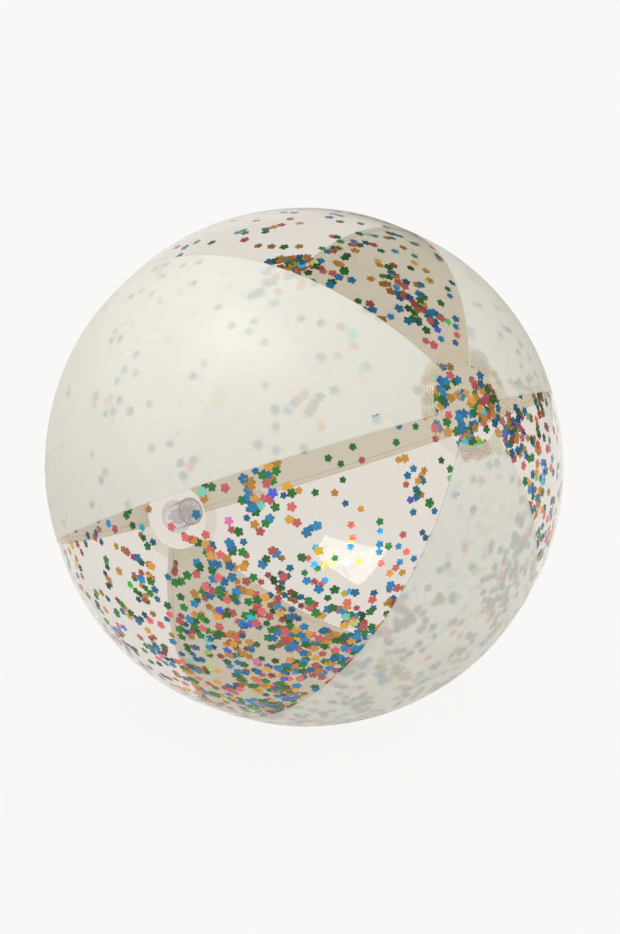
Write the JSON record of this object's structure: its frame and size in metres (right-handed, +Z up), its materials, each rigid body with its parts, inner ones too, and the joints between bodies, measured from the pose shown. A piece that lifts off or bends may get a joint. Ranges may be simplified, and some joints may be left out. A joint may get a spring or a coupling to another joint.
{
  "type": "inflatable beach ball",
  "caption": "Inflatable vinyl beach ball with alternating clear and milky cream gores, round end caps, a push-in valve and loose foil blossom confetti inside.",
  "frame": {"origin": "centre of the inflated ball, which is the centre of its bounding box", "axes": "+Z up as the ball lies at rest, touching the ground at its lowest point. The pole axis leans: the plain end cap faces -Y and 20 degrees up, and the valve's end cap faces +Y and 20 degrees down"},
  "size_m": [0.3997, 0.3997, 0.3996],
  "materials": {
    "cream_film": "glossy translucent milky vinyl film",
    "clear_film": "glossy transparent vinyl film",
    "cap_film": "glossy transparent vinyl film with concentric weld ribs",
    "valve_vinyl": "soft translucent moulded vinyl",
    "foil_blue": "thin metallised foil",
    "foil_coral": "thin metallised foil",
    "foil_mustard": "thin metallised foil",
    "foil_green": "thin metallised foil",
    "foil_iridescent": "thin iridescent foil"
  },
  "bodies": {
    "ball": {"gore_cream_1": "cream_film", "gore_cream_2": "cream_film", "gore_cream_3": "cream_film", "gore_clear_1": "clear_film", "gore_clear_2": "clear_film", "gore_clear_3": "clear_film", "end_cap_plain": "cap_film", "end_cap_valve": "cap_film", "valve_flange": "valve_vinyl", "valve_skirt": "valve_vinyl", "confetti_blue": "foil_blue", "confetti_coral": "foil_coral", "confetti_mustard": "foil_mustard", "confetti_green": "foil_green", "confetti_iridescent": "foil_iridescent"},
    "stem": {"valve_stem": "valve_vinyl", "stopper_strap": "valve_vinyl"},
    "flap": {"valve_flap": "valve_vinyl"},
    "stopper": {"valve_stopper": "valve_vinyl"}
  },
  "joints": [
    {"name": "stem_slide", "type": "slide", "parent": "ball", "child": "stem", "axis": [0, 0.9397, -0.342], "range_m": [0, 0.022], "deforming": ["valve_skirt"]},
    {"name": "stopper_hinge", "type": "hinge", "parent": "stem", "child": "stopper", "pos_m": [-0.0089, 0.18465, -0.06721], "axis": [0, 0.342, 0.9397], "range_deg": [0, 90], "deforming": ["stopper_strap"]},
    {"name": "flap_hinge", "type": "hinge", "parent": "stem", "child": "flap", "pos_m": [-0.0056, 0.16407, -0.05972], "axis": [0, -0.342, -0.9397], "range_deg": [0, 60], "stiffness_Nm_per_rad": 0.0002, "springref_deg": -9.74}
  ]
}
